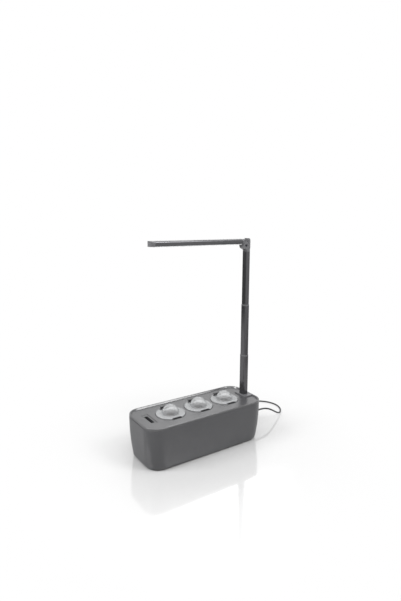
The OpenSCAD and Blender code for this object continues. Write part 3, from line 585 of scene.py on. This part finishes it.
class GARDEN_OT_tank(bpy.types.Operator):
    """Makes the tank and its rubber pads"""

    bl_idname = "garden.tank"
    bl_label = "Tank"

    def execute(self, context):
        edge = context.scene.garden_sizes.edge
        piece("tank_shell", dressed("tub"), "tub", "tank_plastic", ["tub"], edge)
        lo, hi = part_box("foot_pads")
        r = 8 * MM
        # dished pad: rounded foot, shallow hollow underneath
        profile = [(0, 0.4), (4.5, 0.35), (6.2, 0), (7.4, 0), (7.85, 0.2), (8, 0.7), (8, 3), (0, 3)]
        pad = turned(np.array(profile) * MM, 48)
        pads = [pad + [x, y, 0] for x in (lo.x + r, hi.x - r) for y in (lo.y + r, hi.y - r)]
        piece("rubber_pads", mesh_of(pads, caps=False), "tub", "pad_rubber", ["foot_pads"])
        return {"FINISHED"}


class GARDEN_OT_lid(bpy.types.Operator):
    """Makes the tray lid"""

    bl_idname = "garden.lid"
    bl_label = "Lid"

    def execute(self, context):
        edge = context.scene.garden_sizes.edge
        piece("tray_lid", dressed("lid"), "lid", "lid_plastic", ["lid"], 0.8 * edge)
        return {"FINISHED"}


class GARDEN_OT_gauge(bpy.types.Operator):
    """Makes the red gauge sleeve and its float"""

    bl_idname = "garden.gauge"
    bl_label = "Float gauge"

    def execute(self, context):
        lo, hi, x, a, b = fit("indicator_sleeve")
        r, at = 1.5 * MM, [x, 0, 0]
        grid = sleeve((a, b, r), (a - 3 * MM, b - 1.55 * MM, r), lo.z, hi.z, 0.35 * MM) + at
        piece("gauge_sleeve", mesh_of([grid], True), "lid", "red_plastic", ["indicator_sleeve"])
        lo, hi, _, a, b = fit("float_plate")
        grid = bar((a, b, r), lo.z, hi.z, 0.8 * MM) + at
        piece("gauge_float", mesh_of([grid]), "float", "tank_plastic", ["float_plate"], finish="float")
        return {"FINISHED"}


class GARDEN_OT_cups(bpy.types.Operator):
    """Makes the plant cups with their wicks and growing medium"""

    bl_idname = "garden.cups"
    bl_label = "Plant cups"

    def execute(self, context):
        for k, place in enumerate(PLACES):
            cup, wick = "cup_" + place, "wick_" + place
            piece("net_" + cup, dressed(cup), cup, "cup_plastic", [cup], 0.3 * MM)
            lo, hi, x, _, _ = fit(wick)
            t, rise = ring(40), np.linspace(lo.z, hi.z, 50)[:, None] - lo.z
            # round cord of fibres: its radius wavers by 3 per cent round and along it, its end is frayed in
            waver = waves(t[None, :], rise / (hi.z - lo.z) * 2 * np.pi, 30, 3 + k, 2, 8)
            r = 2.2 * MM * (1 + 0.03 * waver) * np.clip(0.75 + rise / (4 * MM), 0, 1)
            grid = around(r, t, lo.z + rise, x)
            piece("fibre_" + wick, mesh_of([grid]), cup, "wick_fibre", [wick])
            self.medium(place, k, context.scene.garden_sizes)
        return {"FINISHED"}

    def medium(self, place, k, sizes):
        """Pressed plug: a cone with rounded ends whose skin an uneven field pushes in, and its fibres."""
        node = "medium_" + place
        lo, hi, x, top, _ = fit(node)
        h, low, round_r = hi.z - lo.z, top - 2.5 * MM, 1.1 * MM
        # the first and last quarters of the run cross the ends, the middle climbs the side
        cross = 0.24
        end = np.linspace(0, 1, 22) ** 0.8 * cross
        run = np.r_[end, np.linspace(0.26, 0.74, 56), 1 - end[::-1]]
        share = np.clip((run - 0.25) / 0.5, 0, 1)
        reach = np.clip(np.minimum(run, 1 - run) / cross, 0, 1)
        away = np.where(share < 0.5, 1, -1)
        edge = round_r * reach**14 * (1 - np.clip(np.minimum(share, 1 - share) / 0.05, 0, 1))
        radius = ((low + (top - low) * share) * reach - edge)[:, None]
        z = (lo.z + h * share + away * edge)[:, None]
        # the crumbs push the side in, and the ends up or down
        u, v = ring(150)[None, :], run[:, None] * 2 * np.pi
        rough = waves(u, v, 90, 20 + k, 2, 16) + 0.6 * waves(u, v, 160, 50 + k, 14, 44)
        push = sizes.crumb * (1 + np.clip(rough, -1, 1)) / 2
        side = (reach > 0.99)[:, None]
        r = np.maximum(radius - np.where(side, push, 0), 0)
        z = z + np.where(side, 0, push) * away[:, None]
        z = np.where(radius < 1e-6, z.mean(1, keepdims=True), z)
        mesh = mesh_of([around(r, ring(150), z, x)])
        piece("peat_plug_" + place, mesh, node, "growing_medium", [node])
        # each fibre is a bowed line on the cone, and a triangle is carried along it
        rng, n = np.random.default_rng(80 + k), sizes.fibres
        start, fall, turn = rng.uniform(0, 2 * np.pi, n), rng.uniform(0.05, 0.95, n), rng.normal(0, 0.22, n)
        drop, bow, s = rng.normal(0, 0.09, n), rng.normal(0, 0.06, n), np.linspace(-0.5, 0.5, 6)
        a = start[:, None] + turn[:, None] * s
        v = np.clip(fall[:, None] + drop[:, None] * s + bow[:, None] * (s**2 - 0.25), 0.02, 0.98)
        line = around(low + (top - low) * v - 0.28 * MM, a, lo.z + h * v, x)[:, :, None]
        out = around(1.0, a, 0.0)
        up = np.broadcast_to([0, 0, 1.0], out.shape)
        across = (up + 0.5 * np.cross(up, out))[:, :, None]
        q = ring(3)[:, None]
        skin = line + 0.13 * MM * (np.cos(q) * out[:, :, None] + np.sin(q) * across)
        piece("coir_" + place, mesh_of(list(skin)), node, "growing_medium", finish="fibre")


class GARDEN_OT_covers(bpy.types.Operator):
    """Makes the cover discs and the clear domes"""

    bl_idname = "garden.covers"
    bl_label = "Covers and domes"

    def execute(self, context):
        # width and depth of the cut-outs, radius of the plant hole and of the edges
        w, d, hole, e = 20 * MM, 7.5 * MM, 8.5 * MM, 0.35 * MM
        for place in PLACES:
            node = "cover_" + place
            lo, hi, x, r, _ = fit(node)
            t = disc_angles(r, w, d)
            rim = notched(t, r, w, d)
            # washer: a rounded square section carried round, its outside following the cut-outs, its bore a
            # small funnel
            section = [
                (rim - e, lo.z), (rim, lo.z + e), (rim, hi.z - e), (rim - e, hi.z),
                (hole + 1.3 * MM, hi.z), (hole + 0.5 * MM, hi.z - 0.5 * MM), (hole, hi.z - 1.1 * MM),
                (hole, lo.z + e), (hole + e, lo.z),
            ]
            grid = np.stack([around(q, t, z, x) for q, z in section])
            piece("cover_disc_" + place, mesh_of([grid], True), node, "cup_plastic", [node], finish="cover")
            self.dome(place, x, r, w + 0.8 * MM, d + 0.4 * MM)
        return {"FINISHED"}

    def dome(self, place, x, cover, w, d):
        """Thin clear shell: flange with a raised lip, a fillet, and a half sphere on a short neck.

        The inner wall follows it one wall in. The cut-outs of the cover below are cut out of it too.
        """
        node = "dome_" + place
        lo, hi, _, rim, _ = fit(node)
        wall, flange, neck, bend = 1.0 * MM, 1.1 * MM, 1.9 * MM, 1.2 * MM
        r = hi.z - lo.z - neck
        q, f = np.linspace(0, np.pi / 2, 22)[:, None], np.linspace(0, np.pi / 2, 6)[:, None]
        # section: down the ball, along the fillet, out over the flange and its lip, in and up the inner wall
        round_q = np.c_[np.cos(q), np.sin(q)]
        ball, inner = r * round_q[:1:-1] + [0, neck], (r - wall) * round_q + [0, neck]
        fillet = bend * (1 - np.c_[np.cos(f), np.sin(f)]) + [r, flange]
        step = [(rim - 1.3 * MM, flange), (rim - 0.95 * MM, flange + 0.15 * MM)]
        lip = np.array([(0.9, 1.75), (0.65, 2), (0.25, 2), (0, 1.75), (0, 0.25), (0.25, 0)]) * MM
        base = [(r - wall + 0.3 * MM, 0), (r - wall, 0.3 * MM)]
        section = np.vstack([ball, fillet, step, [rim, 0] + lip * [-1, 1], base, inner])
        section[[0, -1], 0] = 0
        radius, height = section[:, :1], section[:, 1:]
        t = disc_angles(cover, w, d)
        edge = notched(t, cover, w, d)
        height = np.where(radius > edge, np.minimum(height, flange), height)
        grid = around(np.minimum(radius, edge), t, lo.z + height, x)
        piece("clear_dome_" + place, mesh_of([grid], caps=False), node, "clear_plastic", [node])


class GARDEN_OT_foot(bpy.types.Operator):
    """Makes the lamp's foot"""

    bl_idname = "garden.foot"
    bl_label = "Lamp foot"

    def execute(self, context):
        edge = context.scene.garden_sizes.edge
        rows = (("foot_shell", "foot_housing", edge), ("foot_face", "foot_cover", 0.8 * edge))
        for name, node, width in rows:
            piece(name, dressed(node), "lamp_foot", "lamp_plastic", [node], width)
        return {"FINISHED"}


class GARDEN_OT_mast(bpy.types.Operator):
    """Makes the three tubes of the mast and their guide rings"""

    bl_idname = "garden.mast"
    bl_label = "Mast"

    def execute(self, context):
        # each tube or ring: its CAD node, its body and its corner radius in millimetres
        tubes = (
            ("mast_lower", "lamp_foot", 3.0), ("mast_middle", "mast_middle", 2.25),
            ("mast_upper", "mast_top", 1.5),
        )
        rings = (("lower_bush", "lamp_foot", 3.0), ("middle_bush", "mast_middle", 2.25))
        # each kind: its pieces, the end of their names, wall and lip in millimetres, slot and finish
        kinds = (
            (tubes, "_tube", 0.55, 0.12, "mast_aluminium", None),
            (rings, "_ring", 0.65, 0.25, "black_plastic", "lamp_plastic"),
        )
        for rows, kind, wall, lip, slot, finish in kinds:
            for node, body, r in rows:
                lo, hi, _, a, b = fit(node)
                outside = np.array([a, b, r * MM])
                grid = sleeve(outside, outside - wall * MM, lo.z, hi.z, lip * MM, 10) + [MAST_X, 0, 0]
                piece(node + kind, mesh_of([grid], True), body, slot, [node], finish=finish)
        return {"FINISHED"}


class GARDEN_OT_hinge(bpy.types.Operator):
    """Makes the fork, the pin and the knuckle of the hinge"""

    bl_idname = "garden.hinge"
    bl_label = "Hinge"

    def execute(self, context):
        edge = 0.8 * context.scene.garden_sizes.edge
        piece("hinge_fork", dressed("hinge_yoke"), "mast_top", "lamp_plastic", ["hinge_yoke"], edge, True)
        piece("arm_knuckle", dressed("lamp_knuckle"), "lamp", "lamp_plastic", ["lamp_knuckle"], edge, True)
        lo, hi, x, _, half = fit("hinge_pin")
        # riveted pin: a low dome on each head, a straight shank between them
        rim, shank, head = 3 * MM, 1.6 * MM, 0.9 * MM
        q = np.linspace(0, 1, 7)
        low = np.c_[rim * q, -half + head * 0.75 * q**2.5]
        middle = [(rim, head - half), (shank, head - half), (shank, half - head), (rim, half - head)]
        profile = np.vstack([low, middle, (low * [1, -1])[::-1]])
        grid = turned(profile, 40)[..., [0, 2, 1]] + [x, 0, (lo.z + hi.z) / 2]
        piece("hinge_rivet", mesh_of([grid], caps=False), "mast_top", "screw_steel", ["hinge_pin"])
        return {"FINISHED"}


class GARDEN_OT_lamp(bpy.types.Operator):
    """Makes the lamp's arm, its end cap and its opal diffuser"""

    bl_idname = "garden.lamp"
    bl_label = "Lamp"

    def execute(self, context):
        arm = self.channel()
        piece("arm_channel", arm, "lamp", "mast_aluminium", ["lamp_housing"], finish="arm_aluminium")
        edge = 0.8 * context.scene.garden_sizes.edge
        piece("arm_end", dressed("lamp_end_cap"), "lamp", "lamp_plastic", ["lamp_end_cap"], edge)
        lo, hi, _, _, half = fit("diffuser")
        # lens: a flattened half ellipse, full in the middle and steep at its sides, carried along the arm;
        # its ends are drawn in a little
        q = np.linspace(0, np.pi, 25)
        y = half * np.sign(np.cos(q)) * np.abs(np.cos(q)) ** 0.55
        z = (lo.z - hi.z) * np.abs(np.sin(q)) ** 0.8
        run = np.array([0, 0.25, 0.7, 1.4]) * MM
        xs = np.r_[lo.x + run, np.linspace(lo.x + 12 * MM, hi.x - 12 * MM, 12), hi.x - run[::-1]]
        draw = np.interp(np.minimum(xs - lo.x, hi.x - xs), run, [0.8, 0.9, 0.97, 1])
        rows = [np.c_[np.full(len(q), x), y * (0.9 + 0.1 * s), hi.z + z * s] for x, s in zip(xs, draw)]
        piece("opal_lens", mesh_of([np.stack(rows)]), "lamp", "diffuser_white", ["diffuser"])
        return {"FINISHED"}

    def channel(self):
        """Channel: its section runs from one lip of the slot over the top to the other, and back one wall in.

        The section is carried along X and closed at both ends by a strip between its outside and its inside.
        """
        lo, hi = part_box("lamp_housing")
        # foot of the section, its width, height, corner radius and wall, and half the slot's width
        z0, w, h, r, wall, slot = 454 * MM, 20 * MM, 11.5 * MM, 4 * MM, 1.6 * MM, 8.1 * MM
        y, top = w / 2 - r, h - r

        def flank(rad):
            """One side at corner radius rad: round the lower corner from the slot, then round the upper."""
            t, t2 = np.linspace(-np.arccos((slot - y) / rad), 0, 9), np.linspace(0, np.pi / 2, 9)
            lower = np.c_[rad * np.cos(t), r + rad * np.sin(t)]
            upper = np.c_[rad * np.cos(t2), top + rad * np.sin(t2)]
            return np.vstack([lower, upper]) + [y, z0]

        right, inner = flank(r), flank(r - wall)
        section = np.vstack([right, (right * [-1, 1])[::-1], inner * [-1, 1], inner[::-1]])
        n = len(section)
        points = np.vstack([np.c_[np.full(n, x), section] for x in (lo.x, hi.x)])
        i = np.arange(n // 2 - 1)
        ends = [np.stack([s + i, s + i + 1, s + n - 2 - i, s + n - 1 - i], -1) for s in (0, n)]
        return closed(points, np.vstack([quads(2, n), *ends]).tolist(), 1e-7)


# The lead's route as it is in the CAD source, in millimetres
CORD_ROUTE = [
    (183, 0, 40), (191, 0, 40), (206, 0, 38.5), (222, 1, 33), (238, 3, 24), (254, 7, 14), (270, 14, 6.5),
    (284, 24, 2.8), (296, 37, 2.1), (304, 53, 2.1), (306, 71, 2.1), (301, 89, 2.1), (290, 104, 2.1),
    (274, 116, 2.1), (255, 124, 2.1), (234, 129, 2.1), (212, 131.5, 2.1), (190, 132, 2.1), (168, 132, 2.1),
    (146, 132, 2.1), (124, 132, 2.1), (102, 132, 2.1), (80, 132, 2.1), (68, 132, 2.1),
]
TAIL_ROUTE = [
    (52, 132, 6.9), (42, 131.5, 7.6), (30, 128, 9.4), (18, 121, 11.6), (8, 112, 13.3), (0, 104, 14),
    (-10, 98, 14), (-18, 96, 14), (-22, 96, 14), (-34, 96, 14), (-46, 96, 14),
]


class GARDEN_OT_lead(bpy.types.Operator):
    """Makes the power plug, its lead with the coil, and the adapter"""

    bl_idname = "garden.lead"
    bl_label = "Lead and adapter"

    def execute(self, context):
        route = np.vstack([CORD_ROUTE, coil_route(), TAIL_ROUTE]) * MM
        path, length = smooth_path(route, 3.2 * MM)
        mesh = mesh_of([tube(path, 2 * MM, 12)])
        lead = piece("power_lead", mesh, None, "cord_rubber", ["cord", "cord_coil", "cord_tail"])
        grips = context.scene.garden_sizes.grips
        # plug body: straight collar, shoulder, grip rings as shallow waves, and a taper into the sleeve
        s = np.linspace(0, 1, 90)
        wave = 0.28 * (1 - np.cos(2 * np.pi * grips * (s - 0.35) / 0.5)) / 2
        body = 4.8 - np.where((s > 0.35) & (s < 0.85), wave, 0)
        body -= 0.9 * np.clip((s - 0.86) / 0.14, 0, 1) ** 2 + 0.5 * np.clip(1 - s / 0.03, 0, 1) ** 2
        collar = [(0, -3), (3.4, -3), (3.6, -2.8), (3.6, 0)]
        profile = np.vstack([collar, np.c_[body, 25 * s], [(0, 25)]]) * MM
        mesh = mesh_of([level(turned(profile, 40), 147.5 * MM, 0, PLUG_Z)], caps=False)
        plug = piece("lead_plug", mesh, "plug", "black_plastic", ["dc_plug"])
        relief = self.relief("plug_sleeve", 172.5, 0, PLUG_Z, "plug", "plug_relief")
        tail = self.relief("adapter_sleeve", -32, ADAPTER_Y, ADAPTER_Z, "supply", "adapter_relief")
        lo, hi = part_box("power_adapter")
        size = ((hi.z - lo.z) / 2, (hi.y - lo.y) / 2, 5 * MM)
        mesh = mesh_of([level(bar(size, 0, hi.x - lo.x, 2 * MM, 10, 6), lo.x, ADAPTER_Y, ADAPTER_Z)])
        adapter = piece("mains_adapter", mesh, "supply", "black_plastic", ["power_adapter"])
        pin = turned(np.array([(0, -19), (1.0, -19), (1.7, -18.3), (2, -17.2), (2, 0), (0, 0)]) * MM, 32)
        pins = [level(pin, lo.x, ADAPTER_Y + s * MM, ADAPTER_Z) for s in (-9.5, 9.5)]
        prongs = piece("mains_pins", mesh_of(pins, caps=False), "supply", "bright_metal", ["adapter_pins"])
        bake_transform(lead)
        return {"FINISHED"}

    def relief(self, name, x, y, z, body, node):
        """Bend sleeve: a cone along X from x millimetres, its radius less 0.45 mm in each of six grooves."""
        s = np.linspace(0, 1, 80)
        cone = 2.95 - 0.55 * s
        wave = np.cos(2 * np.pi * 6 * (s - 0.12) / 0.83)
        groove = np.where((s > 0.12) & (s < 0.95) & (wave < -0.1), 0.45, 0)
        profile = np.vstack([[(0, 0)], np.c_[cone - groove, 10.5 * s], [(2.02, 10.5)], [(0, 10.5)]]) * MM
        mesh = mesh_of([level(turned(profile, 36), x * MM, y, z)], caps=False)
        return piece(name, mesh, body, "cord_rubber", [node])


class GARDEN_OT_stage(bpy.types.Operator):
    """Makes the camera, the pale floor and the soft studio light"""

    bl_idname = "garden.stage"
    bl_label = "Stage"

    def execute(self, context):
        scene = context.scene
        scene.view_settings.view_transform = "Standard"
        scene.cycles.denoising_input_passes = "RGB"
        self.camera(scene)
        self.floor(scene)
        self.world(scene)
        # each lamp: its power, width and height in metres and its place; no lamp is in the picture itself
        lamps = {
            "Overhead softbox": (29, 2.2, 2.0, (0.05, -0.75, 2.05)),
            "Right softbox": (20, 0.8, 1.0, (0.95, -1.6, 1.75)),
            "Left softbox": (36, 1.0, 1.0, (-1.75, 0.3, 1.6)),
            "Back softbox": (8, 1.0, 1.0, (1.2, 1.5, 1.85)),
        }
        # all of them aim at the top of the garden
        target = Vector((0.0, 0.0, 0.47))
        for name, (power, wide, high, place) in lamps.items():
            lamp = bpy.data.lights.new(name, "AREA")
            lamp.shape, lamp.energy, lamp.size, lamp.size_y = "RECTANGLE", power, wide, high
            obj = bpy.data.objects.new(name, lamp)
            obj.location = place
            obj.rotation_euler = (target - Vector(place)).to_track_quat("-Z", "Y").to_euler()
            obj.visible_camera = False
            scene.collection.objects.link(obj)
        self.cards(scene)
        return {"FINISHED"}

    def camera(self, scene):
        """Camera of the photograph: its place, lens and three angles were fitted to it."""
        cam = bpy.data.cameras.new("Photograph camera")
        cam.sensor_width, cam.lens = 36, 26.784
        cam.clip_start, cam.clip_end = 0.01, 50
        eye = bpy.data.objects.new("Photograph camera", cam)
        yaw, pitch, roll = np.radians(33.806), np.radians(10.012), 0.0034
        ahead = np.array([np.sin(yaw) * np.cos(pitch), np.cos(yaw) * np.cos(pitch), -np.sin(pitch)])
        right = np.array([np.cos(yaw), -np.sin(yaw), 0])
        up = np.cross(right, ahead)
        x, y = np.cos(roll) * right + np.sin(roll) * up, np.cos(roll) * up - np.sin(roll) * right
        turn = Matrix(np.stack([x, y, -ahead], 1).tolist()).to_4x4()
        eye.matrix_world = Matrix.Translation((-0.52381, -0.79597, 0.50384)) @ turn
        scene.collection.objects.link(eye)
        scene.camera = eye

    def cards(self, scene):
        """Dark cards laid on the floor. Only gloss shows them, as dark stripes in round and upright walls."""
        mat, tree, _ = fresh("Black card")
        surface(mat, tree, {"Base Color": linear("#1c1c1c"), "Roughness": 0.9})
        # bearing and half width, both in degrees, and the distance in metres where the card starts
        for bearing, half, start in ((126, 12, 1.1), (208, 16, 0.6), (236, 8, 0.6), (328, 12, 0.6)):
            a = np.radians([bearing - half, bearing + half])
            near, far = (around(r, a, 0.5 * MM) for r in (start, 12))
            mesh = bpy.data.meshes.new("Black card")
            mesh.from_pydata(np.vstack([near, far[::-1]]), [], [(0, 3, 2, 1)])
            mesh.materials.append(mat)
            obj = bpy.data.objects.new("Black_card", mesh)
            obj.visible_camera = obj.visible_diffuse = obj.visible_transmission = obj.visible_shadow = False
            scene.collection.objects.link(obj)

    def floor(self, scene):
        """Wide pale sheet under the tank, a little glossy, so that the tank's foot is seen in it."""
        mesh = bpy.data.meshes.new("Pale floor")
        mesh.from_pydata([(-20, -20, 0), (20, -20, 0), (20, 20, 0), (-20, 20, 0)], [], [(0, 1, 2, 3)])
        obj = bpy.data.objects.new("Pale_floor", mesh)
        scene.collection.objects.link(obj)
        mat, tree, place = fresh("Pale glossy floor")
        mesh.materials.append(mat)
        sheet = {"Base Color": linear("#d0d0d0"), "Roughness": 0.1, "IOR": 2.3}
        shader = add(tree, "ShaderNodeBsdfPrincipled", sheet)
        glow = add(tree, "ShaderNodeEmission", {"Color": (1, 1, 1, 1), "Strength": 1.0})
        # the sheet's own shade near the tank, plain white further off, where it meets the backdrop
        away = add(tree, "ShaderNodeVectorMath", {0: place}, "Value", operation="LENGTH")
        ramp = {0: away, "From Min": 0.13, "From Max": 0.44}
        share = add(tree, "ShaderNodeMapRange", ramp, interpolation_type="SMOOTHSTEP")
        part = add(tree, "ShaderNodeMath", {0: self.seen(tree), 1: share}, operation="MULTIPLY")
        both = add(tree, "ShaderNodeMixShader", {0: part, 1: shader, 2: glow})
        add(tree, "ShaderNodeOutputMaterial", {"Surface": both})

    def seen(self, tree):
        """1 for rays of the eye, a reflection or clear plastic, which see the background, 0 for others."""
        total = 0.0
        for kind in ("Is Camera Ray", "Is Glossy Ray", "Is Transmission Ray"):
            rays = {0: add(tree, "ShaderNodeLightPath", out=kind), 1: total}
            total = add(tree, "ShaderNodeMath", rays, operation="MAXIMUM")
        return total

    def world(self, scene):
        """White surround for the eye, reflections and clear plastic, and a softer one for light."""
        world = scene.world or bpy.data.worlds.new("Studio")
        scene.world = world
        world.use_nodes = True
        tree = world.node_tree
        tree.nodes.clear()
        soft = add(tree, "ShaderNodeBackground", {"Color": (1, 1, 1, 1), "Strength": 0.43})
        white = add(tree, "ShaderNodeBackground", {"Color": (1, 1, 1, 1), "Strength": 1.0})
        both = add(tree, "ShaderNodeMixShader", {0: self.seen(tree), 1: soft, 2: white})
        add(tree, "ShaderNodeOutputWorld", {"Surface": both})


class GARDEN_PT_panel(bpy.types.Panel):
    """Lists the steps that build the garden"""

    bl_idname = "GARDEN_PT_panel"
    bl_label = "Hydroponic garden"
    bl_space_type = "VIEW_3D"
    bl_region_type = "UI"
    bl_category = "Garden"

    def draw(self, context):
        for group in (context.scene.garden_sizes, context.scene.garden_colours):
            for key in group.__annotations__:
                self.layout.prop(group, key)
        for step in STEPS:
            self.layout.operator(step.bl_idname)


# in the order in which they run: each piece needs the finishes
STEPS = (
    GARDEN_OT_stage, GARDEN_OT_finishes, GARDEN_OT_lead, GARDEN_OT_tank, GARDEN_OT_lid, GARDEN_OT_gauge,
    GARDEN_OT_cups, GARDEN_OT_covers, GARDEN_OT_foot, GARDEN_OT_mast, GARDEN_OT_hinge, GARDEN_OT_lamp,
)
CLASSES = (GardenSizes, GardenColours, *STEPS, GARDEN_PT_panel)


def register():
    """Adds the classes and the two groups of settings."""
    for cls in CLASSES:
        bpy.utils.register_class(cls)
    bpy.types.Scene.garden_sizes = bpy.props.PointerProperty(type=GardenSizes)
    bpy.types.Scene.garden_colours = bpy.props.PointerProperty(type=GardenColours)


def unregister():
    """Takes them away again."""
    del bpy.types.Scene.garden_sizes, bpy.types.Scene.garden_colours
    for cls in reversed(CLASSES):
        bpy.utils.unregister_class(cls)


def main():
    """Builds the whole garden."""
    register()
    for step in STEPS:
        group, call = step.bl_idname.split(".")
        getattr(getattr(bpy.ops, group), call)()


if __name__ == "__main__":
    main()
